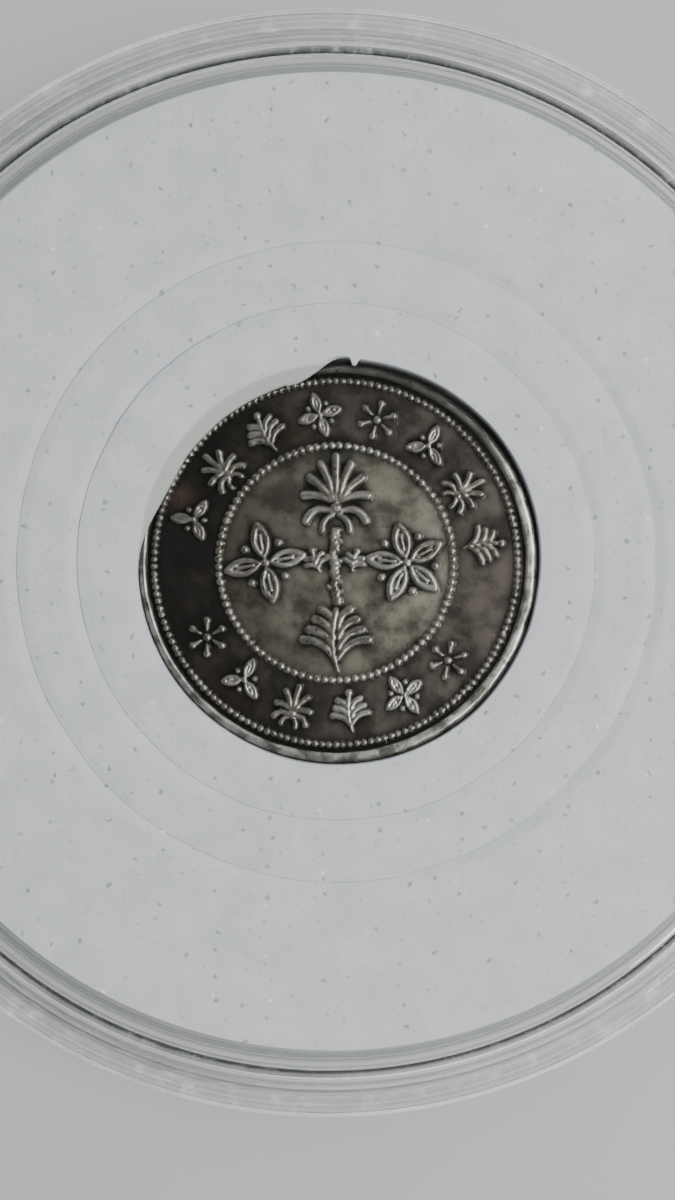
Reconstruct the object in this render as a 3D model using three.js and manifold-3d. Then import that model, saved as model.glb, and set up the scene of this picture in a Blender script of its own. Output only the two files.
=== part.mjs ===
// A round coin capsule: two clear shells that close into a flat disc, a foam insert die cut
// into rings that lift out one by one, and the small silver coin that the insert holds.
// Millimetres, +Z up. The origin is the centre of the flat face that the capsule rests on.
import * as THREE from "three";
import Module from "manifold-3d";
import { mergeVertices } from "three/addons/utils/BufferGeometryUtils.js";

const wasm = await Module();
wasm.setup();

// The closed capsule.
const CAPSULE_RADIUS = 23;
const CAPSULE_HEIGHT = 6;
const PARTING_GAP = 0.04; // between the two rims, at mid-height
const PLATE = 1.2; // thickness of each clear window
const FACE_RADIUS = 20.95; // the raised flat face
const SLOPE_FOOT_RADIUS = 22.1; // where the sloping wall meets the rim
const RIM_THICKNESS = 0.7;
const EDGE_CHAMFER = 0.12;
const INNER_FILLET = 0.2;

// The base's collar stands up inside the lid's wall.
const COLLAR_INNER_RADIUS = 20.3;
const COLLAR_OUTER_RADIUS = 20.7;
const COLLAR_TOP = 4.5;
const COLLAR_CLEARANCE = 0.05;

// The foam insert. It lies a little to one side in the collar, and its cuts a little further.
const FOAM_RADIUS = 20;
const FOAM_OFFSET = [0.16, 0.03];
const FOAM_BOTTOM = 1.3;
const FOAM_THICKNESS = 3.4;
const CUT_OFFSET = [0.35, 0.01];
const CUT_RADII = [10.6, 13.1];
const CUT_GAP = 0.05;
const HOLE_RADIUS = 8.45;
const HOLE_OFFSET = [0.5, 0];

// The coin, held by the foam's grip with its face a little below the top of the insert.
const COIN_RADIUS = 8.2;
const COIN_THICKNESS = 1;
const COIN_BOTTOM = 3.35;
const COIN_OFFSET = [0.44, -0.06];
const REED_COUNT = 100;
const REED_DEPTH = 0.05;
const FIELD_RADIUS = 7.75; // the sunk field inside the raised rim
const FIELD_DEPTH = 0.12;
const STRIKE_OFFSET = [-0.1, 0.04]; // the dies met the blank a little off centre
const RIDGE_HEIGHT = 0.08;
const RIDGE_HALF_WIDTH = 0.13;
const OUTER_RIDGE_RADIUS = 7.46;
const INNER_RIDGE_RADIUS = 4.81;

const SEGMENTS = 72; // facets round every shell, ring and cut
const PARTING = CAPSULE_HEIGHT / 2;

// A closed solid of revolution about +Z, from [radius, height] points that start and end on the
// axis, listed counter-clockwise with the radius to the right.
function turned(profile) {
  const points = profile.map(([radius, height]) => new THREE.Vector2(radius, height));
  return new THREE.LatheGeometry(points, SEGMENTS).rotateX(Math.PI / 2);
}

// A flat ring between two circles, each with its own centre.
function ringPlate(outer, inner, thickness) {
  const shape = new THREE.Shape();
  shape.absarc(...outer.centre, outer.radius, 0, 2 * Math.PI, false);
  const hole = new THREE.Path();
  hole.absarc(...inner.centre, inner.radius, 0, 2 * Math.PI, true);
  shape.holes.push(hole);
  return new THREE.ExtrudeGeometry(shape, {
    depth: thickness,
    bevelEnabled: false,
    curveSegments: SEGMENTS / 2, // a full circle gets twice this many sides
  });
}

function toSolid(geometry) {
  const bare = geometry.clone();
  bare.deleteAttribute("normal");
  bare.deleteAttribute("uv");
  const merged = mergeVertices(bare, 1e-4);
  return new wasm.Manifold(
    new wasm.Mesh({
      numProp: 3,
      vertProperties: merged.attributes.position.array,
      triVerts: new Uint32Array(merged.index.array),
    }),
  );
}

function toGeometry(solid) {
  const { vertProperties, triVerts } = solid.getMesh();
  return new THREE.BufferGeometry()
    .setAttribute("position", new THREE.BufferAttribute(vertProperties, 3))
    .setIndex(new THREE.BufferAttribute(triVerts, 1));
}

// The outside of one half, from its rim at the parting line round to its flat face, with
// heights measured from that face.
function outerWall(rimHeight) {
  const rimBack = rimHeight - RIM_THICKNESS;
  return [
    [FACE_RADIUS - EDGE_CHAMFER, 0],
    [FACE_RADIUS, EDGE_CHAMFER],
    [SLOPE_FOOT_RADIUS, rimBack],
    [CAPSULE_RADIUS - EDGE_CHAMFER, rimBack],
    [CAPSULE_RADIUS, rimBack + EDGE_CHAMFER],
    [CAPSULE_RADIUS, rimHeight],
  ];
}

function baseShell() {
  return turned([
    [0, 0],
    ...outerWall(PARTING),
    [COLLAR_OUTER_RADIUS, PARTING],
    [COLLAR_OUTER_RADIUS, COLLAR_TOP - EDGE_CHAMFER],
    [COLLAR_OUTER_RADIUS - EDGE_CHAMFER, COLLAR_TOP],
    [COLLAR_INNER_RADIUS, COLLAR_TOP],
    [COLLAR_INNER_RADIUS, PLATE + INNER_FILLET],
    [COLLAR_INNER_RADIUS - INNER_FILLET, PLATE],
    [0, PLATE],
  ]);
}

function lidShell() {
  const skirtRadius = COLLAR_OUTER_RADIUS + COLLAR_CLEARANCE;
  const rimHeight = PARTING - PARTING_GAP;
  const inside = [
    [0, PLATE],
    [skirtRadius - INNER_FILLET, PLATE],
    [skirtRadius, PLATE + INNER_FILLET],
    [skirtRadius, rimHeight],
  ];
  const fromTop = [...inside, ...outerWall(rimHeight).reverse(), [0, 0]];
  return turned(fromTop.map(([radius, depth]) => [radius, CAPSULE_HEIGHT - depth]));
}

// One ring of the insert. A cut takes half of its gap from the ring on each side.
function insertRing(outer, inner) {
  return ringPlate(outer, inner, FOAM_THICKNESS).translate(0, 0, FOAM_BOTTOM);
}

function cutCircle(index, side) {
  return { radius: CUT_RADII[index] + (side * CUT_GAP) / 2, centre: CUT_OFFSET };
}

function coinBlank() {
  const outline = new THREE.Shape();
  for (let i = 0; i < 2 * REED_COUNT; i++) {
    const angle = (Math.PI * i) / REED_COUNT;
    const radius = COIN_RADIUS - (i % 2) * REED_DEPTH;
    outline[i ? "lineTo" : "moveTo"](radius * Math.cos(angle), radius * Math.sin(angle));
  }
  outline.closePath();
  return new THREE.ExtrudeGeometry(outline, { depth: COIN_THICKNESS, bevelEnabled: false });
}

// What the die takes away above one field: a shallow disc, less the two raised circles.
function dieCut() {
  const bottom = COIN_THICKNESS - FIELD_DEPTH;
  const above = COIN_THICKNESS + FIELD_DEPTH;
  const ridge = (radius) => [
    [radius - RIDGE_HALF_WIDTH, bottom],
    [radius - RIDGE_HALF_WIDTH / 2, bottom + RIDGE_HEIGHT],
    [radius + RIDGE_HALF_WIDTH / 2, bottom + RIDGE_HEIGHT],
    [radius + RIDGE_HALF_WIDTH, bottom],
  ];
  return turned([
    [0, bottom],
    ...ridge(INNER_RIDGE_RADIUS),
    ...ridge(OUTER_RIDGE_RADIUS),
    [FIELD_RADIUS, bottom],
    [FIELD_RADIUS, above],
    [0, above],
  ]).translate(...STRIKE_OFFSET, 0);
}

function coin() {
  const face = dieCut();
  const back = face.clone().translate(0, 0, -COIN_THICKNESS).rotateX(Math.PI);
  const struck = toSolid(coinBlank()).subtract(toSolid(face)).subtract(toSolid(back));
  return toGeometry(struck).translate(...COIN_OFFSET, COIN_BOTTOM);
}

const clearPlastic = new THREE.MeshStandardMaterial({
  color: 0xe4e8ea,
  roughness: 0.08,
  transparent: true,
  opacity: 0.3,
});
const whiteFoam = new THREE.MeshStandardMaterial({ color: 0xd9dcdf, roughness: 0.95 });
const tonedSilver = new THREE.MeshStandardMaterial({
  color: 0x7b776c,
  roughness: 0.42,
  metalness: 1,
});

const capsule = new THREE.Group();

function addPiece(name, geometry, material) {
  const mesh = new THREE.Mesh(geometry, material.clone());
  mesh.name = name;
  capsule.add(mesh);
}

const foamEdge = { radius: FOAM_RADIUS, centre: FOAM_OFFSET };
const hole = { radius: HOLE_RADIUS, centre: HOLE_OFFSET };

addPiece("base_shell", baseShell(), clearPlastic);
addPiece("lid_shell", lidShell(), clearPlastic);
addPiece("insert_outer_ring", insertRing(foamEdge, cutCircle(1, 1)), whiteFoam);
addPiece("insert_middle_ring", insertRing(cutCircle(1, -1), cutCircle(0, 1)), whiteFoam);
addPiece("insert_inner_ring", insertRing(cutCircle(0, -1), hole), whiteFoam);
addPiece("coin", coin(), tonedSilver);

export default capsule;
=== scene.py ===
"""A round coin capsule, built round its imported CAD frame.

Two clear shells close round a foam insert of three rings, which grips a small toned silver coin.
Lengths are in millimetres until a mesh, a node socket, a light or the camera takes them.
"""

import math

import bpy
import numpy as np
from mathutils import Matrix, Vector


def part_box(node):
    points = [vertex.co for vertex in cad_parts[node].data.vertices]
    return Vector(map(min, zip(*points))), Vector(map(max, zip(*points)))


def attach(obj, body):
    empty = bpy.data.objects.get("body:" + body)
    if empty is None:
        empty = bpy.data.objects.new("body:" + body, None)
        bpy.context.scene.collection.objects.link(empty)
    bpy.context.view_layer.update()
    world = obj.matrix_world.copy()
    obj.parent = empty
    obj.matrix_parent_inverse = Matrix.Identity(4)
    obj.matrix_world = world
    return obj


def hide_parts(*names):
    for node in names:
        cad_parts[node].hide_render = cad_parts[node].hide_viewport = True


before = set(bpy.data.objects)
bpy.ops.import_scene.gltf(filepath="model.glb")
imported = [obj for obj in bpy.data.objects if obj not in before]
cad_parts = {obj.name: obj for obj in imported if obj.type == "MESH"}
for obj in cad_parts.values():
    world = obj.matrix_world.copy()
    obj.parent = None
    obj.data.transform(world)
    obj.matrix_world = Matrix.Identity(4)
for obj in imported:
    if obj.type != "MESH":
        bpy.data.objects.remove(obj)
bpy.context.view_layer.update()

MM = 0.001
TURN = 2 * math.pi


# ---------------------------------------------------------------- places, from the frame


def span(node):
    """A node's centre in plan, its radius, and its lowest and highest height."""
    low, high = (np.array(corner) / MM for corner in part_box(node))
    middle = (low + high) / 2
    return middle[:2], (high[0] - low[0]) / 2, low[2], high[2]


_, RIM_R, BASE_Z, COLLAR_Z = span("base_shell")
_, _, LID_Z, TOP_Z = span("lid_shell")
FOAM_C, FOAM_R, FOAM_Z0, FOAM_Z1 = span("insert_outer_ring")
CUT_C, OUTER_CUT_R, _, _ = span("insert_middle_ring")
_, INNER_CUT_R, _, _ = span("insert_inner_ring")
COIN_C, COIN_R, COIN_Z0, COIN_Z1 = span("coin")
FOAM_MIDDLE, FOAM_HALF = (FOAM_Z0 + FOAM_Z1) / 2, (FOAM_Z1 - FOAM_Z0) / 2

# The shells' cross-section.
PLATE = 1.2  # the flat windows' thickness
FACE_R = 20.95  # the raised flat face
SLOPE_FOOT_R = 22.1  # where the sloping wall meets the rim
RIM_THICK = 0.7
PARTING_GAP = 0.04  # between the two rims
COLLAR_IN_R, COLLAR_OUT_R = 20.3, 20.7
COLLAR_CLEARANCE = 0.05
SHELL_SEGMENTS = 360


# ---------------------------------------------------------------- mesh helpers


def add_mesh(name, verts_mm, faces, material):
    mesh = bpy.data.meshes.new(name)
    mesh.from_pydata((np.asarray(verts_mm) * MM).tolist(), [], faces)
    mesh.validate()
    mesh.polygons.foreach_set("use_smooth", [True] * len(mesh.polygons))
    mesh.materials.append(material)
    piece = bpy.data.objects.new(name, mesh)
    bpy.context.scene.collection.objects.link(piece)
    return piece


def finish_piece(piece, body, node):
    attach(piece, body)
    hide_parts(node)
    return piece


def filleted(corners, steps=5, hold=0.03):
    """A profile with its corners rounded. Each corner is (radius, height, fillet).

    A point is held near each end of a straight run, so that the run stays flat when it is shaded.
    """
    points = [np.array(corner[:2], float) for corner in corners]
    path = [points[0]]
    for before, here, after, corner in zip(points, points[1:], points[2:], corners[1:]):
        back, on = before - here, after - here
        back, on = back / np.linalg.norm(back), on / np.linalg.norm(on)
        cut = corner[2]
        start, end = here + back * cut, here + on * cut
        path.append(start + back * hold)
        for t in np.linspace(0, 1, steps + 1):
            path.append((1 - t) ** 2 * start + 2 * t * (1 - t) * here + t**2 * end)
        path.append(end + on * hold)
    path.append(points[-1])
    return np.array(path)


def revolve(profile, segments, closed=False):
    """Vertices (rings, segments, 3) and faces of a surface of revolution.

    An open profile starts and ends on the axis, and its two ends are left to capped().
    """
    rings = profile if closed else profile[1:-1]
    turn = np.arange(segments) * TURN / segments
    radius, height = np.array(rings).T
    x = radius[:, None] * np.cos(turn)
    y = radius[:, None] * np.sin(turn)
    z = np.repeat(height[:, None], segments, 1)
    return np.stack([x, y, z], -1), grid_faces(len(rings), segments, closed)


def grid_faces(rings, segments, closed):
    index = np.arange(rings * segments).reshape(rings, segments)
    upper = np.roll(index, -1, 0) if closed else index[1:]
    lower = index if closed else index[:-1]
    across = np.stack([lower, np.roll(lower, -1, 1), np.roll(upper, -1, 1), upper], -1)
    return across.reshape(-1, 4).tolist()


def capped(grid, faces, bottom, top):
    """Closes both ends of a revolved shell with a point on the axis."""
    rings, segments, _ = grid.shape
    verts = np.vstack([grid.reshape(-1, 3), [(0, 0, bottom)], [(0, 0, top)]])
    low, high = rings * segments, rings * segments + 1
    last = (rings - 1) * segments
    for j in range(segments):
        following = (j + 1) % segments
        faces.append([low, following, j])
        faces.append([last + j, last + following, high])
    return verts, faces


LATTICE = 256  # the random lattice's side, in cells


def smooth_noise(x, y, size, seed):
    """A smooth random field from -1 to 1 over arrays of places, with features about size across."""
    lattice = np.random.default_rng(seed).uniform(-1, 1, (LATTICE, LATTICE))
    u, v = np.asarray(x) / size + LATTICE / 2, np.asarray(y) / size + LATTICE / 2
    i, j = np.floor(u).astype(int), np.floor(v).astype(int)
    s, t = u - i, v - j
    s, t = s * s * (3 - 2 * s), t * t * (3 - 2 * t)
    i0, j0, i1, j1 = i % LATTICE, j % LATTICE, (i + 1) % LATTICE, (j + 1) % LATTICE
    low = lattice[i0, j0] * (1 - s) + lattice[i1, j0] * s
    high = lattice[i0, j1] * (1 - s) + lattice[i1, j1] * s
    return low * (1 - t) + high * t


def smoothstep(low, high, value):
    t = np.clip((value - low) / (high - low), 0, 1)
    return t * t * (3 - 2 * t)


# ---------------------------------------------------------------- material helpers


class Nodes:
    """A short way to write a material's node tree."""

    def __init__(self, name):
        self.material = bpy.data.materials.new(name)
        self.material.use_nodes = True
        self.tree = self.material.node_tree
        self.tree.nodes.clear()
        self.out = self.add("ShaderNodeOutputMaterial")
        self.place = self.add("ShaderNodeTexCoord").outputs["Object"]

    def add(self, kind, inputs=None, **settings):
        node = self.tree.nodes.new(kind)
        for key, value in settings.items():
            setattr(node, key, value)
        for key, value in (inputs or {}).items():
            self.put(node.inputs[key], value)
        return node

    def put(self, socket, value):
        if isinstance(value, bpy.types.NodeSocket):
            self.tree.links.new(value, socket)
        else:
            socket.default_value = value

    def maths(self, operation, a, b=0.0):
        return self.add("ShaderNodeMath", {0: a, 1: b}, operation=operation).outputs[0]

    def times(self, a, b):
        return self.maths("MULTIPLY", a, b)

    def apart(self, a, b):
        """How far a is from b."""
        return self.maths("ABSOLUTE", self.maths("SUBTRACT", a, b))

    def total(self, start, *terms):
        """The start plus each (value, share), held between 0 and 1."""
        for value, share in terms:
            node = self.add("ShaderNodeMath", {0: start, 1: self.times(value, share)}, operation="ADD")
            node.use_clamp = True
            start = node.outputs[0]
        return start

    def ramp(self, value, low, high, to_low=0.0, to_high=1.0):
        """A smooth step of value from low to high."""
        inputs = {"Value": value, "From Min": low, "From Max": high, "To Min": to_low, "To Max": to_high}
        return self.add("ShaderNodeMapRange", inputs, interpolation_type="SMOOTHSTEP").outputs["Result"]

    def noise(self, per_mm, detail=2.0, rough=0.5, vector=None):
        """Noise from 0 to 1 with this many features per millimetre, or per unit of a given vector."""
        inputs = {
            "Vector": self.place if vector is None else vector,
            "Scale": per_mm / MM,
            "Detail": detail,
            "Roughness": rough,
        }
        return self.add("ShaderNodeTexNoise", inputs).outputs["Fac"]

    def cells(self, per_mm, vector=None, dimensions="3D"):
        inputs = {"Vector": self.place if vector is None else vector, "Scale": per_mm / MM}
        settings = {"feature": "F1", "voronoi_dimensions": dimensions}
        return self.add("ShaderNodeTexVoronoi", inputs, **settings).outputs

    def vector(self, operation, a, b=(0, 0, 0)):
        return self.add("ShaderNodeVectorMath", {0: a, 1: b}, operation=operation)

    def parts(self, vector):
        """A vector's X, Y and Z."""
        return self.add("ShaderNodeSeparateXYZ", {0: vector}).outputs

    def from_axis(self, vector):
        """How far a place is from the vertical axis."""
        flat = self.vector("MULTIPLY", vector, (1, 1, 0)).outputs[0]
        return self.vector("LENGTH", flat).outputs["Value"]

    def measured_from(self, centre_mm):
        """The place, measured from a centre in plan."""
        return self.vector("ADD", self.place, (*(-centre_mm * MM), 0)).outputs[0]

    def shaken(self, per_mm, by_mm):
        """The place moved about a little, so that what is drawn from it has ragged outlines."""
        inputs = {"Vector": self.place, "Scale": per_mm / MM, "Detail": 2.0}
        noise = self.add("ShaderNodeTexNoise", inputs).outputs["Color"]
        centred = self.vector("SUBTRACT", noise, (0.5, 0.5, 0.5)).outputs[0]
        moved = self.vector("SCALE", centred)
        moved.inputs["Scale"].default_value = 2 * by_mm * MM
        return self.vector("ADD", self.place, moved.outputs[0]).outputs[0]

    def stretched(self, turn_deg, across, along):
        """The place, turned and stretched, for hairlines that run one way."""
        node = self.add("ShaderNodeMapping", {"Vector": self.place})
        node.inputs["Rotation"].default_value = (0, 0, math.radians(turn_deg))
        node.inputs["Scale"].default_value = (across, along, across)
        return node.outputs[0]

    def blend(self, factor, a, b):
        """A colour mix."""
        node = self.add("ShaderNodeMix", data_type="RGBA")
        self.put(node.inputs[0], factor)
        self.put(node.inputs[6], a)
        self.put(node.inputs[7], b)
        return node.outputs[2]

    def bump(self, height, strength, depth_mm, normal=None):
        inputs = {"Height": height, "Strength": strength, "Distance": depth_mm * MM}
        node = self.add("ShaderNodeBump", inputs)
        if normal is not None:
            self.put(node.inputs["Normal"], normal)
        return node.outputs["Normal"]

    def surface(self, shader):
        self.put(self.out.inputs["Surface"], shader.outputs[0])
        return self.material


# ---------------------------------------------------------------- clear plastic

# The second colour whitens real scuffs and dust, and also paints the highlights along the edges and the
# collar.
CLEAR, SCUFF_AND_HIGHLIGHT = (0.985, 0.99, 0.99, 1), (0.8, 0.8, 0.79, 1)
STRAIGHT_THROUGH = (0.94, 0.95, 0.95, 1)  # what a shadow or a much bent ray keeps of its colour
MOST_BENDS = 4.5  # a ray bent more often than this goes straight through

# Scratches: direction in degrees, number per millimetre, width, and a shift that sets each kind apart.
SCRATCHES = [(24, 0.9, 0.006, 3.0), (97, 0.6, 0.004, 11.0), (-38, 1.4, 0.005, 27.0)]
SCRATCH_LENGTH = 40  # how much longer than it is wide the noise behind a scratch is

# Edge highlights, painted as white lines that stand in for the glints of the moulded edges: the radius of
# each, the line's width, and how white it is.
EDGE_HIGHLIGHTS = [
    (FACE_R - 0.03, 0.07, 0.5),
    (RIM_R - 0.03, 0.06, 0.4),
    (SLOPE_FOOT_R, 0.07, 0.25),
    (FACE_R - 0.13, 0.2, 0.3),
]
COLLAR_EDGE_R, COLLAR_EDGE_WIDTH = 20.5, 0.32


def hairlines(n, turn_deg, per_mm, width, shift):
    """Fine scratches, broken into lengths, that run mostly one way."""
    place = n.stretched(turn_deg, per_mm, per_mm / SCRATCH_LENGTH)
    wave = n.noise(1.0, 1.0, 0.5, n.vector("ADD", place, (shift, 0, 0)).outputs[0])
    line = n.ramp(n.apart(wave, 0.5), 0.0, width, 1.0, 0.0)
    lengths = n.ramp(n.noise(per_mm * 0.35, 2.0), 0.56, 0.66)
    return n.times(line, lengths)


def scratches(n):
    """All the scratches together: how strong the strongest one at a place is."""
    deepest = 0.0
    for scratch in SCRATCHES:
        deepest = n.maths("MAXIMUM", deepest, hairlines(n, *scratch))
    return deepest


def highlight_line(n, radius, at, width, patches):
    """A fine painted highlight round an edge at one radius."""
    return n.times(n.ramp(n.apart(radius, at * MM), 0.0, width * MM, 1.0, 0.0), patches)


def painted_edge_highlights(n, radius):
    """Painted highlights along all the moulded edges, stronger in some places than others."""
    patches = n.ramp(n.noise(0.12, 3.0, 0.6), 0.3, 0.7, 0.25, 1.0)
    lines = [(highlight_line(n, radius, at, width, patches), share) for at, width, share in EDGE_HIGHLIGHTS]
    return n.total(0.0, *lines)


def collar_edge_highlight(n, radius, height):
    """A painted highlight: the white line along the top of the base's collar."""
    near_top = n.ramp(n.apart(height, COLLAR_Z * MM), 0.02 * MM, 0.12 * MM, 1.0, 0.0)
    return highlight_line(n, radius, COLLAR_EDGE_R, COLLAR_EDGE_WIDTH, near_top)


def turning_marks(n, radius, height):
    """Fine rings that the turned mould left in the walls."""
    place = n.add("ShaderNodeCombineXYZ", {0: radius, 1: n.times(height, 0.3)}).outputs[0]
    return n.noise(6.0, 3.0, 0.6, place)


def dust(n):
    """Round specks, gathered in patches."""
    spots = n.ramp(n.cells(0.55)["Distance"], 0.02, 0.035, 1.0, 0.0)
    return n.times(spots, n.ramp(n.noise(0.3), 0.55, 0.6))


def letting_light_through(n, shader):
    """The shader, with shadow rays, diffuse rays and much bent rays let straight through it."""
    path = n.add("ShaderNodeLightPath").outputs
    passes = n.maths("MAXIMUM", path["Is Shadow Ray"], path["Is Diffuse Ray"])
    passes = n.maths("MAXIMUM", passes, n.maths("GREATER_THAN", path["Ray Depth"], MOST_BENDS))
    through = n.add("ShaderNodeBsdfTransparent", {"Color": STRAIGHT_THROUGH})
    return n.add("ShaderNodeMixShader", {0: passes, 1: shader.outputs[0], 2: through.outputs[0]})


def clear_plastic():
    """Moulded polystyrene: clear, with handling scratches, dust, painted highlights along the edges and a
    scuffed rim.
    """
    n = Nodes("clear_plastic")
    radius, height = n.from_axis(n.place), n.parts(n.place)["Z"]
    on_wall = n.ramp(radius, (COLLAR_IN_R - 0.05) * MM, (COLLAR_IN_R + 0.1) * MM)
    on_rim = n.ramp(radius, (FACE_R - 0.05) * MM, (FACE_R + 0.35) * MM)
    scratch = scratches(n)
    scuff = n.times(n.ramp(n.noise(1.1, 6.0, 0.7), 0.52, 0.72), on_rim)
    marks = turning_marks(n, radius, height)
    rings = n.times(n.ramp(marks, 0.5, 0.66), on_wall)
    waviness = n.bump(n.noise(0.09, 1.0), 0.25, 0.06)
    ripple = n.bump(n.noise(0.7, 3.0, 0.6), n.times(on_rim, 0.4), 0.03, waviness)
    ringed = n.bump(marks, n.times(on_wall, 0.5), 0.012, ripple)
    # What turns white: real scuffs, dust and turning rings, and painted highlights along the edges and the
    # collar.
    solid = n.total(
        0.0,
        (scuff, 0.2),
        (dust(n), 0.7),
        (rings, 0.13),
        (collar_edge_highlight(n, radius, height), 0.4),
        (painted_edge_highlights(n, radius), 1.0),
    )
    inputs = {
        "Base Color": n.blend(solid, CLEAR, SCUFF_AND_HIGHLIGHT),
        "Roughness": n.total(0.015, (scratch, 0.12), (scuff, 0.22)),
        "IOR": 1.5,
        "Transmission Weight": n.maths("SUBTRACT", 1.0, solid),
        "Normal": n.bump(scratch, 0.15, 0.006, ringed),
    }
    shader = n.add("ShaderNodeBsdfPrincipled", inputs)
    return n.surface(letting_light_through(n, shader))


def outer_profile(rim_height):
    """From a half's flat face round its wall to the rim at the parting, with depths from that face."""
    back = rim_height - RIM_THICK
    return [
        (FACE_R, 0, 0.16),
        (SLOPE_FOOT_R, back, 0.14),
        (RIM_R, back, 0.1),
        (RIM_R, rim_height, 0.04),
    ]


def base_shell(material):
    rim_height = LID_Z - PARTING_GAP
    corners = [
        (0, BASE_Z, 0),
        *outer_profile(rim_height),
        (COLLAR_OUT_R, rim_height, 0.06),
        (COLLAR_OUT_R, COLLAR_Z, 0.12),
        (COLLAR_IN_R, COLLAR_Z, 0.08),
        (COLLAR_IN_R, PLATE, 0.2),
        (0, PLATE, 0),
    ]
    grid, faces = revolve(filleted(corners), SHELL_SEGMENTS)
    verts, faces = capped(grid, faces, BASE_Z, PLATE)
    piece = add_mesh("clear_base", verts, faces, material)
    return finish_piece(piece, "base", "base_shell")


def lid_shell(material):
    skirt = COLLAR_OUT_R + COLLAR_CLEARANCE
    rim_height = TOP_Z - LID_Z
    corners = [
        (0, PLATE, 0),
        (skirt, PLATE, 0.2),
        (skirt, rim_height, 0.06),
        *reversed(outer_profile(rim_height)),
        (0, 0, 0),
    ]
    corners = [(radius, TOP_Z - depth, fillet) for radius, depth, fillet in corners]
    grid, faces = revolve(filleted(corners), SHELL_SEGMENTS)
    verts, faces = capped(grid, faces, TOP_Z - PLATE, TOP_Z)
    piece = add_mesh("clear_lid", verts, faces, material)
    return finish_piece(piece, "lid", "lid_shell")


# ---------------------------------------------------------------- foam insert

FOAM_DARK, FOAM_LIGHT = (0.575, 0.588, 0.618, 1), (0.635, 0.648, 0.676, 1)
# The first colour is painted shade in the pores; the second is white specks.
PORE_SHADE, FLECK_WHITE = (0.22, 0.23, 0.24, 1), (0.95, 0.95, 0.95, 1)
LIP_SHADE = (0.42, 0.435, 0.415, 1)  # painted shade, greyer and a little green, on the lip and wall round the coin


def specks(n, place, per_mm, size, share):
    """Spots of this size, this many per millimetre, in this share of the cells."""
    cells = n.cells(per_mm, place, "2D")
    spot = n.ramp(cells["Distance"], size * 0.4, size, 1.0, 0.0)
    pick = n.add("ShaderNodeSeparateColor", {0: cells["Color"]}).outputs[0]
    return n.times(spot, n.ramp(pick, 1 - share, 1.0))


def white_foam():
    """Closed-cell foam sheet: matte, with fine cells, scattered pores with painted shade in them, and a few
    bright specks.
    """
    n = Nodes("white_foam")
    from_middle = n.apart(n.parts(n.place)["Z"], FOAM_MIDDLE * MM)
    on_face = n.ramp(from_middle, (FOAM_HALF - 0.3) * MM, (FOAM_HALF - 0.2) * MM)
    ragged = n.shaken(5.0, 0.16)
    large_pores, small_pores = specks(n, ragged, 0.9, 0.1, 0.7), specks(n, ragged, 2.2, 0.13, 0.6)
    pores = n.times(n.maths("MAXIMUM", large_pores, n.times(small_pores, 0.6)), on_face)
    flecks = n.times(specks(n, ragged, 0.45, 0.04, 0.4), on_face)
    base = n.blend(n.ramp(n.noise(0.6, 5.0, 0.65), 0.35, 0.65), FOAM_DARK, FOAM_LIGHT)
    # Painted shade in the pores.
    base = n.blend(n.times(pores, 0.7), base, PORE_SHADE)
    base = n.blend(flecks, base, FLECK_WHITE)
    # Painted shade on the foam's lip and wall round the coin.
    from_coin = n.from_axis(n.measured_from(COIN_C))
    lip_shade = n.ramp(from_coin, (COIN_R - 0.12) * MM, (COIN_R + 0.06) * MM, 1.0, 0.0)
    grain = n.bump(n.noise(9.0, 2.0), 0.25, 0.01)
    inputs = {
        "Base Color": n.blend(lip_shade, base, LIP_SHADE),
        "Roughness": 0.86,
        "Specular IOR Level": 0.25,
        "Normal": n.bump(pores, 0.6, -0.03, grain),
    }
    return n.surface(n.add("ShaderNodeBsdfPrincipled", inputs))


CUT_GAP = 0.004  # between two rings
EDGE = 0.035  # the radius of a ring's edges
CUT_WANDER = 0.035  # how far the die's cut strays from its circle
HOLE_R = COIN_R + 0.2  # before the hole is fitted to the coin
PRESSED_WIDTH = 0.5  # the band along a cut that the die pressed down
FACE_CLEARANCE = 0.02  # the faces lie this much inside the CAD foam

WAVES = [(0.014, 2.7), (0.008, 0.8)]  # the height and size of each
PIT_COUNT, PIT_REACH = 320, 20  # scattered over a square of twice this reach
PIT_SIZES, PIT_DEPTHS = (0.12, 0.3), (0.02, 0.07)

PLAIN_WALL = np.linspace(FOAM_Z0 + EDGE, FOAM_Z1 - EDGE, 14)  # the heights of a wall's points


def rounded(radius, height, start_deg):
    """The three points inside the quarter turn of a foam edge."""
    turns = np.radians(start_deg + np.array([22.5, 45, 67.5]))
    return [(radius + EDGE * math.cos(a), height + EDGE * math.sin(a)) for a in turns]


def ring_profile(inner, outer, spacing, inner_wall):
    """A foam ring's closed section, anticlockwise from the inner end of its bottom."""
    across = int((outer - inner - 2 * EDGE) / spacing)
    flat = np.linspace(inner + EDGE, outer - EDGE, across)
    low, high = FOAM_Z0 + EDGE, FOAM_Z1 - EDGE
    path = [(radius, FOAM_Z0) for radius in flat]
    path += rounded(outer - EDGE, low, -90)
    path += [(outer, height) for height in PLAIN_WALL]
    path += rounded(outer - EDGE, high, 0)
    path += [(radius, FOAM_Z1) for radius in flat[::-1]]
    path += rounded(inner + EDGE, high, 90)
    path += [(inner, height) for height in inner_wall[::-1]]
    path += rounded(inner + EDGE, low, 180)
    return np.array(path)


def foam_relief(x, y, seed):
    """The sheet's slight waviness and its larger pits, as heights."""
    relief = sum(height * smooth_noise(x, y, size, seed + k) for k, (height, size) in enumerate(WAVES))
    rng = np.random.default_rng(seed + len(WAVES))
    for _ in range(PIT_COUNT):
        pit_x, pit_y = rng.uniform(-PIT_REACH, PIT_REACH, 2)
        size, depth = rng.uniform(*PIT_SIZES), rng.uniform(*PIT_DEPTHS)
        relief -= depth * np.exp(-((x - pit_x) ** 2 + (y - pit_y) ** 2) / size**2 * 2)
    return relief


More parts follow.
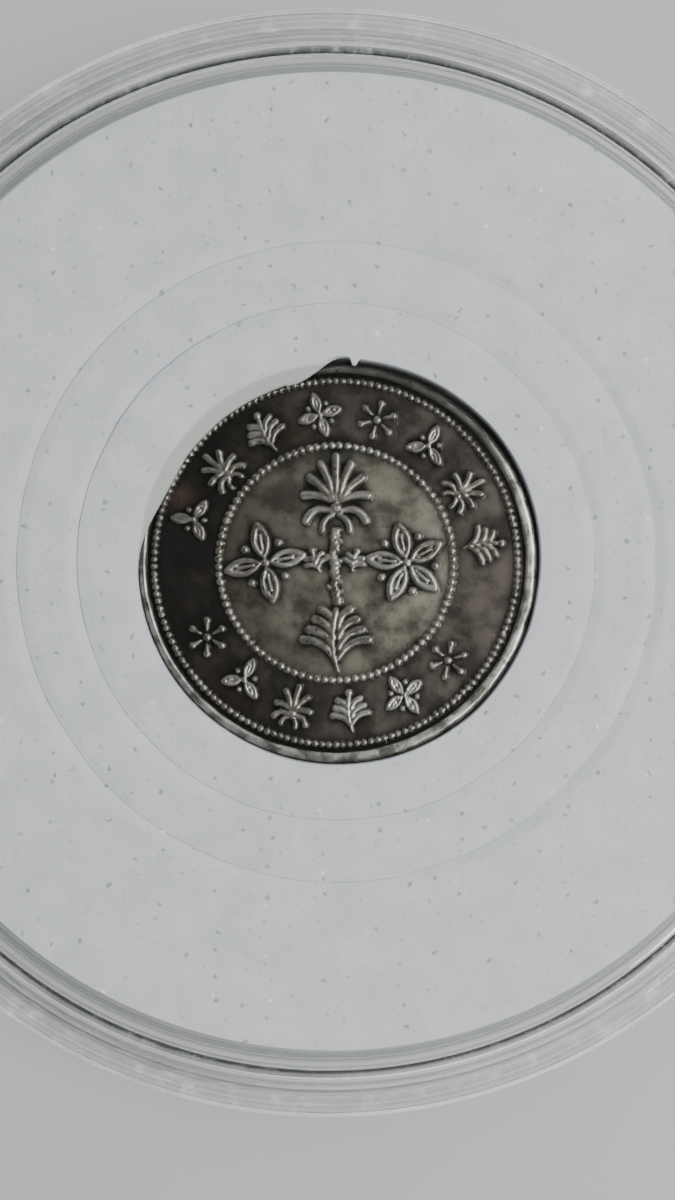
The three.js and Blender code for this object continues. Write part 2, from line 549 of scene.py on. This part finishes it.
def settle_foam(grid, past_inner, short_of_outer, drops, tilt, seed):
    """Gives a ring's faces their waviness, pits, slight tilt, and the edges that the die pressed down."""
    x, y, z = grid[..., 0], grid[..., 1], grid[..., 2]
    side = (z - FOAM_MIDDLE) / FOAM_HALF
    rise, turn = tilt[0], math.radians(tilt[1])
    lean = rise * (x * math.cos(turn) + y * math.sin(turn)) / FOAM_R
    pressed = drops[0] * (1 - smoothstep(0, PRESSED_WIDTH, past_inner))
    pressed += drops[1] * (1 - smoothstep(0, PRESSED_WIDTH, short_of_outer))
    z += side * (foam_relief(x, y, seed) - pressed - FACE_CLEARANCE) + lean


def cut_wander(centre_spots, seed):
    """How far a cut strays from its circle, by the direction from its centre."""
    turn = np.arctan2(centre_spots[..., 1], centre_spots[..., 0])
    return CUT_WANDER * smooth_noise(7 * np.cos(turn), 7 * np.sin(turn), 1.0, seed)


def foam_ring(
    name, body, node, material, inner, outer, segments, spacing,
    drops, tilt, seed, strays, wall=PLAIN_WALL, shape=None,
):
    """One ring between two circles, each (centre, radius).

    drops say how far the die pressed the inner and the outer edge down, tilt is (rise at the edge,
    direction in degrees), and strays are the seeds of the two cuts' wander, or 0 for a true circle.
    """
    (centre_in, inner_r), (centre_out, outer_r) = inner, outer
    grid, faces = revolve(ring_profile(inner_r, outer_r, spacing, wall), segments, closed=True)
    radius = np.linalg.norm(grid[..., :2], axis=-1)
    outward = np.clip((radius - inner_r) / (outer_r - inner_r), 0, 1)
    stray = np.zeros_like(radius)
    for stray_seed, share in zip(strays, (1 - outward, outward)):
        if stray_seed:
            stray += share * cut_wander(grid, stray_seed)
    grid[..., :2] *= (1 + stray / radius)[..., None]
    grid[..., :2] += outward[..., None] * centre_out + (1 - outward)[..., None] * centre_in
    settle_foam(grid, radius - inner_r, outer_r - radius, drops, tilt, seed)
    if shape is not None:
        shape(grid, radius - inner_r)
    piece = add_mesh(name, grid.reshape(-1, 3), faces, material)
    return finish_piece(piece, body, node)


# The hole's wall has more points near the coin's upper edge, where the lip springs from it.
LIP_Z = COIN_Z1 + 0.035
HOLE_WALL = np.concatenate([
    np.linspace(FOAM_Z0 + EDGE, COIN_Z1 - 0.03, 9),
    [LIP_Z - 0.012],
    np.linspace(LIP_Z, FOAM_Z1 - EDGE, 7),
])

# Directions round the coin, in degrees from +X: a feature starts, is whole from, is whole to, and ends.
SLACK_TURNS = (-14, 42, 88, 104)
SLOT_TURNS = (86, 88, 92, 96)
LIP_TURNS = (88, 104, 152, 185)
NIB_TURN, NIB_WIDTH = 85.4, 1.0

SNUG, SLACK, SLOT = 0.03, 0.15, 0.06  # the gap beside the coin, and what the features add to it
LIP_REACH = 0.66  # over the coin's rim
NIB_LENGTH = 0.3
GRIP_WIDTH = 0.6  # the foam round the hole that moves when it is fitted
WOBBLE = 0.012


def window(angle, rise_deg, start_deg, end_deg, fall_deg):
    """1 from start to end, rising from 0 at rise and back to 0 at fall."""
    turn = (np.degrees(angle) + 90) % 360 - 90
    return smoothstep(rise_deg, start_deg, turn) * (1 - smoothstep(end_deg, fall_deg, turn))


def grip_coin(grid, past_hole):
    """Fits the hole to the coin.

    It is slack at the upper right, tight below, and laps the coin's rim at the upper left as a lip.
    """
    z = grid[..., 2]
    from_coin = grid[..., :2] - COIN_C
    distance = np.linalg.norm(from_coin, axis=-1)
    angle = np.arctan2(from_coin[..., 1], from_coin[..., 0])
    wobble = WOBBLE * smooth_noise(6 * angle, 0 * angle, 1, 19)
    slack, slot, lip = (window(angle, *turns) for turns in (SLACK_TURNS, SLOT_TURNS, LIP_TURNS))
    side = COIN_R + SNUG + SLACK * slack + SLOT * slot + wobble
    top = side + 0.03 + 0.03 * lip
    tip = side * (1 - lip) + (COIN_R - LIP_REACH) * lip + wobble
    down = np.clip((FOAM_Z1 - z) / (FOAM_Z1 - LIP_Z), 0, 1)
    target = np.where(z > LIP_Z - 0.02, top + (tip - top) * down**0.8, side)
    nib = np.exp(-(((angle - math.radians(NIB_TURN)) / math.radians(NIB_WIDTH)) ** 4))
    target -= NIB_LENGTH * nib * smoothstep(LIP_Z, FOAM_Z1 - 0.1, z)
    near = 1 - smoothstep(0, GRIP_WIDTH, past_hole)
    grid[..., :2] += ((target - HOLE_R) * near / distance)[..., None] * from_coin


def insert_rings(material):
    outer_cut, inner_cut = OUTER_CUT_R + CUT_GAP, INNER_CUT_R + CUT_GAP
    foam_ring(
        "foam_outer_ring", "outer_ring", "insert_outer_ring", material,
        inner=(CUT_C, outer_cut), outer=(FOAM_C, FOAM_R), segments=720, spacing=0.16,
        drops=(0.13, 0.04), tilt=(0.012, 70), seed=11, strays=(51, 0),
    )
    foam_ring(
        "foam_middle_ring", "middle_ring", "insert_middle_ring", material,
        inner=(CUT_C, inner_cut), outer=(CUT_C, OUTER_CUT_R), segments=600, spacing=0.12,
        drops=(0.1, 0.08), tilt=(0.04, 20), seed=23, strays=(52, 51),
    )
    foam_ring(
        "foam_inner_ring", "inner_ring", "insert_inner_ring", material,
        inner=(COIN_C, HOLE_R), outer=(CUT_C, INNER_CUT_R), segments=720, spacing=0.1,
        drops=(0.03, 0.06), tilt=(0.05, 60), seed=37, strays=(0, 52),
        wall=HOLE_WALL, shape=grip_coin,
    )


# ---------------------------------------------------------------- the coin's ornament

# Each stroke is (points, half-widths), in a unit that is half the ornament's size, with +y up.


def arc(cx, cy, radius, start_deg, end_deg, width, steps=14):
    turn = np.radians(np.linspace(start_deg, end_deg, steps))
    return np.stack([cx + radius * np.cos(turn), cy + radius * np.sin(turn)], -1), np.full(steps, width)


def dot(cx, cy, width):
    return np.array([[cx, cy], [cx + 0.01, cy]]), np.full(2, width)


def brush(start, end, bow, fat, steps=8):
    """A bent stroke that starts thin, swells and ends round."""
    start, end = np.array(start, float), np.array(end, float)
    t = np.linspace(0, 1, steps)[:, None]
    across = np.array([start[1] - end[1], end[0] - start[0]])
    points = start + t * (end - start) + 4 * bow * t * (1 - t) * across
    return points, fat * (0.5 + 0.5 * np.sqrt(t[:, 0]))


def turned(strokes, turn_deg):
    a = math.radians(turn_deg)
    spin = np.array([[math.cos(a), math.sin(a)], [-math.sin(a), math.cos(a)]])
    return [(points @ spin, widths) for points, widths in strokes]


def palmette(leaves, fat):
    """Leaves fanned up from a boss, over two pairs of drooping ones."""
    strokes = [dot(0, -0.42, fat * 1.3)]
    for k in range(leaves):
        a = math.radians(-74 + 148 * k / (leaves - 1))
        reach = 1.0 - 0.14 * abs(math.sin(a))
        tip = (reach * math.sin(a), -0.4 + 1.32 * reach * math.cos(a))
        strokes.append(brush((0.16 * math.sin(a), -0.22), tip, 0.1 * math.sin(a), fat))
    for side in (-1, 1):
        strokes.append(brush((side * 0.12, -0.5), (side * 0.78, -0.74), side * 0.24, fat))
        strokes.append(brush((side * 0.06, -0.6), (side * 0.36, -1.0), side * 0.2, fat * 0.8))
    return strokes


def sprig(pairs, fat):
    """A bent stem with pairs of curved leaves and a bud."""
    strokes = [brush((0.06, -0.98), (0.0, 0.6), 0.08, fat * 0.75), dot(0.03, 0.86, fat * 1.2)]
    for k in range(pairs):
        foot = -0.66 + 1.05 * k / pairs
        for side in (-1, 1):
            tip = (side * (0.86 - 0.16 * k), foot + 0.5)
            strokes.append(brush((side * 0.06, foot), tip, side * 0.16, fat))
    return strokes


def rosette(arms, fat):
    """Short knobbed arms round a boss."""
    arm = [brush((0.34, 0), (0.74, 0), 0, fat * 0.85), dot(0.8, 0, fat * 1.35)]
    strokes = [dot(0, 0, fat * 1.5)]
    for k in range(arms):
        strokes += turned(arm, 90 + 360 * k / arms)
    return strokes


def foil(leaves, fat):
    """Ribbed leaves round a boss, with beads between them."""
    bead = dot(0.44 / math.sin(math.pi / leaves), 0, fat * 0.9)
    leaf = [brush((0.14, 0), (1.0, 0), bow, fat * 0.8) for bow in (0.2, -0.2)]
    leaf += [brush((0.3, 0), (0.72, 0), 0, fat * 0.5), *turned([bead], 180 / leaves)]
    strokes = [dot(0, 0, fat)]
    for k in range(leaves):
        strokes += turned(leaf, 102 + 360 * k / leaves)
    return strokes


def blossom(petals, fat):
    """Plump petals round a ringed boss."""
    reach = 0.58 * math.sin(math.pi / petals)
    petal = [arc(0.62, 0, reach, -140, 140, fat * 0.85)]
    strokes = [arc(0, 0, 0.24, 0, 360, fat * 0.6), dot(0, 0, fat * 0.5)]
    for k in range(petals):
        strokes += turned(petal, 90 + 360 * k / petals)
    return strokes


def stalk(fat, knobs=13):
    """An upright stalk of knobs of several sizes, swaying a little."""
    rng = np.random.default_rng(41)
    strokes = [brush((0.03, -1), (-0.02, 1), 0.02, fat * 0.5)]
    for y in np.linspace(-0.97, 0.97, knobs):
        strokes.append(dot(rng.uniform(-0.07, 0.07), y, fat * rng.uniform(0.7, 1.2)))
        side = rng.choice([-1, 1])
        strokes.append(brush((0, y), (side * rng.uniform(0.12, 0.22), y + 0.06), 0.2, fat * 0.6))
    return strokes


WORN_FLAT = 1.1  # a ridge's round back is this much wider and taller before it is worn level


def ridge_heights(x, y, strokes, centre, size, turn_deg):
    """How high strokes stand at each place, from 0 to 1: a wire's rounded back, worn a little flat."""
    heights = np.zeros_like(x)
    near = (np.abs(x - centre[0]) < 1.5 * size) & (np.abs(y - centre[1]) < 1.5 * size)
    spots = (np.stack([x[near], y[near]], -1) - centre) / size
    best = np.full(len(spots), np.inf)
    for points, widths in turned(strokes, turn_deg):
        for a, b, w0, w1 in zip(points, points[1:], widths, widths[1:]):
            along = b - a
            t = np.clip((spots - a) @ along / (along @ along), 0, 1)
            gap = np.linalg.norm(spots - a - t[:, None] * along, axis=1)
            best = np.minimum(best, gap / (w0 + t * (w1 - w0)))
    back = WORN_FLAT * np.sqrt(np.clip(1 - (best / WORN_FLAT) ** 2, 0, 1))
    heights[near] = np.minimum(back, 1)
    return heights


def bead_ring(x, y, radius, count, bead_r):
    """A circle of round beads, each a little different."""
    rng = np.random.default_rng(count)
    distance, angle = np.hypot(x, y), np.arctan2(y, x)
    pitch = TURN / count
    which = np.floor(angle / pitch).astype(int)
    jitter = rng.uniform(-0.06, 0.06, (3, count))
    k = which % count
    centre = (which + 0.5 + jitter[0, k]) * pitch
    size = bead_r * (1 + jitter[1, k])
    dx, dy = distance - radius - jitter[2, k] * bead_r, (angle - centre) * radius
    return np.sqrt(np.clip(1 - (dx**2 + dy**2) / size**2, 0, 1))


# ---------------------------------------------------------------- the coin

REEDS, REED_DEPTH = 100, 0.045
EDGE_STEPS = 5  # the coin's edge is this many bands of faces high
FACE_POINTS = 321  # along each side of the grid behind a face
FIELD_DEPTH = 0.12
FIELD_R = 7.76
STRIKE = np.array([-0.1, 0.04])  # the die met the blank a little off centre
RIM_LEVEL = 0.91  # of the field's depth, where the rim isn't battered
RIM_ROUND_FROM = COIN_R - 0.3
CREVICE_BLUR = 26  # passes of softened()

# Circles of beads: (radius, count, bead's radius).
OUTER_BEADS = (7.46, 162, 0.148)
INNER_BEADS = (4.81, 96, 0.158)
BEAD_LEVEL = 0.9

# The marks round the rim stand with their feet inward above and outward below.
MARK_CIRCLE, MARK_SIZE, FAT = 6.1, 0.86, 0.15
WEAK_SHARE = 0.8
UPPER_MARKS = [7 + 22.3 * k for k in range(8)]
LOWER_MARKS = [-41 - 21.8 * k for k in range(6)]
CENTRE_MARK_CIRCLE, CENTRE_MARK_SIZE, LARGE_FAT = 2.9, 1.58, 0.108

# The stalk in the middle and the sprig on each side of it: (strokes, centre, size, turn, share).
MIDDLE_MARKS = [
    (stalk(0.125), (-0.1, 0), 1.3, 0, 1.0),
    (sprig(2, 0.22), (-0.84, 0.1), 0.5, 20, 1.0),
    (sprig(2, 0.24), (0.76, 0.1), 0.46, -15, 1.0),
]

WREATH_SPRIGS, WREATH_CIRCLE, WREATH_SIZE = 16, 5.7, 0.95


def on_circle(radius, turn_deg):
    a = math.radians(turn_deg)
    return np.array([radius * math.cos(a), radius * math.sin(a)])


def rim_marks():
    """The small marks, upright above and below. The one at the top is weakly struck."""
    small = [foil(3, FAT * 0.9), sprig(3, FAT), rosette(6, FAT * 0.8), palmette(5, FAT), foil(4, FAT * 0.9)]
    marks = []
    for k, angle in enumerate([*UPPER_MARKS, *LOWER_MARKS]):
        upright = angle - 90 if k < len(UPPER_MARKS) else angle + 90
        share = WEAK_SHARE if abs(angle - 90) < 15 else 1.0
        strokes, centre = small[(k * 2 + 1) % len(small)], on_circle(MARK_CIRCLE, angle)
        marks.append((strokes, centre, MARK_SIZE, upright, share))
    return marks


def centre_marks():
    """The four large marks, from the right anticlockwise."""
    large = [foil(5, LARGE_FAT), palmette(7, LARGE_FAT), foil(4, LARGE_FAT), sprig(4, LARGE_FAT)]
    circle = [on_circle(CENTRE_MARK_CIRCLE, 90 * k) for k in range(len(large))]
    return [(strokes, centre, CENTRE_MARK_SIZE, 0, 1.0) for strokes, centre in zip(large, circle)]


def wreath_marks():
    """The back's ring of sprigs."""
    step = 360 / WREATH_SPRIGS
    turns = [step * (k + 0.5) for k in range(WREATH_SPRIGS)]
    return [(sprig(3, FAT), on_circle(WREATH_CIRCLE, turn), WREATH_SIZE, turn, 1.0) for turn in turns]


def raise_marks(height, x, y, marks):
    """Raises the field's height to each mark: (strokes, centre, size, turn in degrees, share)."""
    for strokes, centre, size, turn_deg, share in marks:
        np.maximum(height, share * ridge_heights(x, y, strokes, centre, size, turn_deg), out=height)


def raise_beads(height, x, y, beads):
    np.maximum(height, BEAD_LEVEL * bead_ring(x, y, *beads), out=height)


def weakly_struck(height, x, y, size, seed):
    """The relief, a little lower by patches."""
    return height * (0.88 + 0.12 * smooth_noise(x, y, size, seed))


def obverse(x, y):
    """The face's relief, from 0 in the field to 1 at the rim's level."""
    x, y = x - STRIKE[0], y - STRIKE[1]
    height = np.zeros_like(x)
    raise_marks(height, x, y, [*rim_marks(), *centre_marks(), *MIDDLE_MARKS])
    raise_beads(height, x, y, INNER_BEADS)
    raise_beads(height, x, y, OUTER_BEADS)
    return weakly_struck(height, x, y, 2.6, 5)


def reverse(x, y):
    """The back's relief: a rosette inside a wreath, inside beads."""
    height = np.zeros_like(x)
    rosettes = [(blossom(8, 0.06), (0, 0), 3.6, 0, 1.0), (blossom(6, 0.11), (0, 0), 1.2, 30, 1.0)]
    raise_marks(height, x, y, [*rosettes, *wreath_marks()])
    raise_beads(height, x, y, OUTER_BEADS)
    return weakly_struck(height, x, y, 2.2, 8)


def softened(field, passes):
    """The field blurred over its grid."""
    for _ in range(passes):
        for axis in (0, 1):
            field = 0.5 * field + 0.25 * (np.roll(field, 1, axis) + np.roll(field, -1, axis))
    return field


def coin_face(x, y, design, centre):
    """Depth below the coin's top, the level from 0 to 1, and how deep in a crevice each point is."""
    relief = design(x, y)
    from_strike = np.hypot(x - centre[0], y - centre[1])
    from_middle = np.hypot(x, y)
    ragged = 0.02 * smooth_noise(x, y, 0.6, 3)
    rim = smoothstep(FIELD_R, FIELD_R + 0.08, from_strike + ragged)
    battered = 0.06 * smooth_noise(x, y, 0.55, 4) + 0.03 * smooth_noise(x, y, 0.25, 14)
    level = np.maximum(rim * (RIM_LEVEL + battered), relief)
    field = 0.005 * smooth_noise(x, y, 1.3, 6) + 0.003 * smooth_noise(x, y, 0.3, 7)
    depth = FIELD_DEPTH * (1 - level) - field * (1 - rim)
    rounding = 0.12 + 0.06 * smooth_noise(x, y, 0.6, 15)
    depth += rounding * smoothstep(RIM_ROUND_FROM, COIN_R + 0.05, from_middle) ** 1.6
    crevice = np.clip(3.2 * softened(level, CREVICE_BLUR) * (1 - level) ** 2, 0, 1)
    return np.maximum(depth, 0), level, crevice


def disc_grid(count):
    """A square grid mapped to a disc of radius 1 with even cells.

    Gives its x, y and indices, and the indices along its edge in order of angle.
    """
    step = np.linspace(-1, 1, count)
    a, b = np.meshgrid(step, step, indexing="ij")
    sideways = np.abs(a) > np.abs(b)
    with np.errstate(divide="ignore", invalid="ignore"):
        turn = np.where(sideways, math.pi / 4 * b / a, math.pi / 2 - math.pi / 4 * a / b)
    turn = np.where(np.abs(a) + np.abs(b) == 0, 0, turn)
    radius = np.where(sideways, a, b)
    index = np.arange(count * count).reshape(count, count)
    edge = [*index[-1, :-1], *index[::-1, -1][:-1], *index[0, ::-1][:-1], *index[:-1, 0]]
    return radius * np.cos(turn), radius * np.sin(turn), index, np.array(edge)


def coin_edge(front, back, edge):
    """The reeded edge between two faces: its bands of vertices, then its faces."""
    reeds = 0.5 - 0.5 * np.cos(REEDS * np.arctan2(front[edge, 1], front[edge, 0]))
    flare = np.stack([1 + REED_DEPTH / COIN_R * reeds] * 2 + [np.ones(len(edge))], -1)
    bands, rings = [], [edge]
    for k in range(1, EDGE_STEPS):
        bands.append((front[edge] * (1 - k / EDGE_STEPS) + back[edge] * k / EDGE_STEPS) * flare)
        rings.append(2 * len(front) + (k - 1) * len(edge) + np.arange(len(edge)))
    rings.append(edge + len(front))
    faces = []
    for upper, lower in zip(rings, rings[1:]):
        faces += np.stack([upper, lower, np.roll(lower, -1), np.roll(upper, -1)], -1).tolist()
    return bands, faces


def add_tone(mesh, name, *fields):
    """Keeps a value for each vertex, which the silver's colour reads."""
    values = np.concatenate([field.ravel() for field in fields])
    mesh.attributes.new(name, "FLOAT", "POINT").data.foreach_set("value", values.astype(np.float32))


def silver_coin(material):
    u, v, index, edge = disc_grid(FACE_POINTS)
    x, y = u * (COIN_R - REED_DEPTH), v * (COIN_R - REED_DEPTH)
    depth, level, crevice = coin_face(x, y, obverse, STRIKE)
    back_depth, back_level, back_crevice = coin_face(x, -y, reverse, np.zeros(2))
    front = np.stack([x, y, COIN_Z1 - depth], -1).reshape(-1, 3)
    back = np.stack([x, y, COIN_Z0 + back_depth], -1).reshape(-1, 3)
    quads = np.stack([index[:-1, :-1], index[1:, :-1], index[1:, 1:], index[:-1, 1:]], -1).reshape(-1, 4)
    bands, edge_faces = coin_edge(front, back, edge)
    faces = [*quads.tolist(), *(quads[:, ::-1] + len(front)).tolist(), *edge_faces]
    verts = np.vstack([front, back, *bands])
    verts[:, :2] += COIN_C
    piece = add_mesh("silver_coin", verts, faces, material)
    around = np.ones((len(bands), len(edge)))
    add_tone(piece.data, "level", level, back_level, 0.5 * around)
    add_tone(piece.data, "crevice", crevice, back_crevice, 0 * around)
    return finish_piece(piece, "coin", "coin")


# The silver's colours. A pair is the west and east end of a drift, or the two ends of a noise. The field's
# west-to-east drift is a painted sheen, lighter towards the light on the right.
OUTER_FIELD = (0.016, 0.0142, 0.0125, 1), (0.092, 0.08, 0.068, 1)
INNER_FIELD = (0.068, 0.062, 0.048, 1), (0.215, 0.202, 0.162, 1)
BROWN_STAIN = (0.062, 0.047, 0.036, 1)
SMOKE = (0.009, 0.008, 0.0065, 1)
CREVICE_BLACK = (0.004, 0.0037, 0.0033, 1)
WORN_RELIEF = (0.088, 0.083, 0.069, 1), (0.178, 0.17, 0.145, 1)
BRIGHT_WEAR = (0.22, 0.211, 0.186, 1)
NORTH_WEAR, BEAD_WEAR = (0.05, 0.047, 0.04, 1), (0.04, 0.038, 0.033, 1)
RIM_METAL = (0.1, 0.096, 0.084, 1), (0.33, 0.321, 0.294, 1)
RIM_SHADED = (0.045, 0.043, 0.038, 1)


def tarnished_field(n, radius, sheen_east, crevice):
    """The sunk field: dark outside the inner beads, olive inside, smoky, black beside the relief, and
    lighter to the east by a painted sheen.
    """
    inside = n.ramp(radius, INNER_BEADS[0] * MM, (INNER_BEADS[0] + 0.2) * MM, 1.0, 0.0)
    outer = n.blend(sheen_east, *OUTER_FIELD)
    outer = n.blend(n.ramp(n.noise(0.3, 3.0, 0.5), 0.55, 0.72), outer, BROWN_STAIN)
    field = n.blend(inside, outer, n.blend(sheen_east, *INNER_FIELD))
    clear_of_smoke = n.ramp(n.noise(0.8, 5.0, 0.62), 0.36, 0.64)
    field = n.blend(clear_of_smoke, n.blend(0.7, field, SMOKE), field)
    return n.blend(n.times(crevice, 0.95), field, CREVICE_BLACK)


def worn_relief(n, radius, north, fine):
    """The metal of what stands up: brighter where it is worn, darker at the top and on the outer beads."""
    worn = n.blend(n.ramp(fine, 0.3, 0.7), *WORN_RELIEF)
    worn = n.blend(n.ramp(n.noise(0.22, 2.0), 0.45, 0.6), worn, BRIGHT_WEAR)
    worn = n.blend(n.times(n.ramp(north, 3.5 * MM, 7.0 * MM), 0.5), worn, NORTH_WEAR)
    return n.blend(n.ramp(radius, 7.1 * MM, 7.25 * MM, 0.0, 0.35), worn, BEAD_WEAR)


def rim_metal(n, north):
    """The rim's metal: the brightest, with tarnish by patches, and dull at the top."""
    tarnish = n.ramp(n.noise(1.3, 4.0, 0.65), 0.38, 0.6)
    return n.blend(n.ramp(north, 2.0 * MM, 5.6 * MM, 0.0, 0.88), n.blend(tarnish, *RIM_METAL), RIM_SHADED)


def toned_silver():
    """Old silver: almost black beside the relief, brown and olive by patches, bright where it stands up."""
    n = Nodes("toned_silver")
    level = n.add("ShaderNodeAttribute", attribute_name="level").outputs["Fac"]
    crevice = n.add("ShaderNodeAttribute", attribute_name="crevice").outputs["Fac"]
    middle = n.measured_from(COIN_C + STRIKE)
    radius, (east_of, north_of, _) = n.from_axis(middle), n.parts(middle)
    patches, fine = n.noise(0.45, 5.0, 0.62), n.noise(5.0, 4.0, 0.65)
    # A painted sheen: the field lightens eastward in patches, towards the light on the right.
    sheen_drift = n.maths("ADD", east_of, n.times(n.maths("SUBTRACT", patches, 0.5), 14 * MM))
    field = tarnished_field(n, radius, n.ramp(sheen_drift, -6.5 * MM, 6.5 * MM), crevice)
    on_rim = n.ramp(radius, FIELD_R * MM, (FIELD_R + 0.06) * MM)
    metal = n.blend(on_rim, worn_relief(n, radius, north_of, fine), rim_metal(n, north_of))
    grit = n.times(n.maths("SUBTRACT", fine, 0.5), 0.24)
    wear = n.ramp(n.maths("ADD", level, grit), 0.12, 0.6)
    inputs = {
        "Base Color": n.blend(wear, field, metal),
        "Metallic": n.ramp(wear, 0.0, 1.0, 0.5, 0.8),
        "Roughness": n.ramp(fine, 0.3, 0.75, 0.27, 0.42),
        "Specular IOR Level": n.ramp(wear, 0.0, 1.0, 0.12, 0.5),
        "Normal": n.bump(n.noise(11.0, 3.0, 0.6), 0.3, 0.01),
    }
    return n.surface(n.add("ShaderNodeBsdfPrincipled", inputs))


# ---------------------------------------------------------------- floor, light and camera

# Places and sizes here are in metres.
FLOOR_HALF = 1.5
FLOOR_DROP = 1e-5  # below the capsule's foot, so that the two faces don't flicker
FLOOR_TONES = (0.43, 0.427, 0.415, 1), (0.46, 0.457, 0.445, 1)
SKY_COLOUR = (0.93, 0.96, 1.0, 1)
SKY_FADE = {"From Min": 0.35, "From Max": 0.96, "To Min": 0.62, "To Max": 0.03}
CAMERA_PLACE = (0.41 * MM, -1.55 * MM, 96 * MM)
LENS_MM, SENSOR_MM = 66.8, 36


def floor():
    n = Nodes("pale_floor")
    tone = n.blend(n.noise(0.05, 3.0), *FLOOR_TONES)
    shader = n.add("ShaderNodeBsdfPrincipled", {"Base Color": tone, "Roughness": 0.7})
    mesh = bpy.data.meshes.new("floor")
    corners = [(FLOOR_HALF * x, FLOOR_HALF * y, 0) for x, y in ((-1, -1), (1, -1), (1, 1), (-1, 1))]
    mesh.from_pydata(corners, [], [(0, 1, 2, 3)])
    mesh.materials.append(n.surface(shader))
    plane = bpy.data.objects.new("floor", mesh)
    plane.location.z = BASE_Z * MM - FLOOR_DROP
    bpy.context.scene.collection.objects.link(plane)


def soft_box(name, azimuth, elevation, distance, size, watts, colour):
    """An oval light that looks at the origin from an azimuth and an elevation in degrees.

    Azimuth 0 is +X and 90 is +Y.
    """
    light = bpy.data.lights.new(name, "AREA")
    light.shape = "ELLIPSE"
    light.size, light.size_y = size
    light.energy = watts
    light.color = colour
    holder = bpy.data.objects.new(name, light)
    a, e = math.radians(azimuth), math.radians(elevation)
    way = Vector((math.cos(a) * math.cos(e), math.sin(a) * math.cos(e), math.sin(e)))
    holder.location = way * distance
    holder.rotation_mode = "QUATERNION"
    holder.rotation_quaternion = way.to_track_quat("Z", "Y")
    bpy.context.scene.collection.objects.link(holder)


def sky():
    """Soft light all round that fades overhead, so that nothing glares in the lid's flat window."""
    world = bpy.data.worlds.new("studio")
    world.use_nodes = True
    tree = world.node_tree
    tree.nodes.clear()
    out = tree.nodes.new("ShaderNodeOutputWorld")
    back = tree.nodes.new("ShaderNodeBackground")
    where = tree.nodes.new("ShaderNodeTexCoord")
    parts = tree.nodes.new("ShaderNodeSeparateXYZ")
    ramp = tree.nodes.new("ShaderNodeMapRange")
    ramp.interpolation_type = "SMOOTHSTEP"
    tree.links.new(where.outputs["Generated"], parts.inputs[0])
    tree.links.new(parts.outputs["Z"], ramp.inputs["Value"])
    for key, value in SKY_FADE.items():
        ramp.inputs[key].default_value = value
    tree.links.new(ramp.outputs["Result"], back.inputs["Strength"])
    back.inputs["Color"].default_value = SKY_COLOUR
    tree.links.new(back.outputs[0], out.inputs[0])
    bpy.context.scene.world = world


def studio():
    sky()
    soft_box("window", -10, 57, 0.25, size=(0.24, 0.105), watts=0.9, colour=(1.0, 0.99, 0.97))
    soft_box("fill", 105, 50, 0.5, size=(0.35, 0.25), watts=0.5, colour=(0.95, 0.98, 1.0))


def camera():
    """Straight above, close, a little towards the front and right of the capsule's centre."""
    data = bpy.data.cameras.new("camera")
    data.lens, data.sensor_width = LENS_MM, SENSOR_MM
    data.clip_start, data.clip_end = 0.001, 10
    holder = bpy.data.objects.new("camera", data)
    holder.location = CAMERA_PLACE
    bpy.context.scene.collection.objects.link(holder)
    bpy.context.scene.camera = holder


camera()
studio()
floor()
plastic, foam, silver = clear_plastic(), white_foam(), toned_silver()
base_shell(plastic)
lid_shell(plastic)
insert_rings(foam)
silver_coin(silver)

bpy.context.view_layer.update()
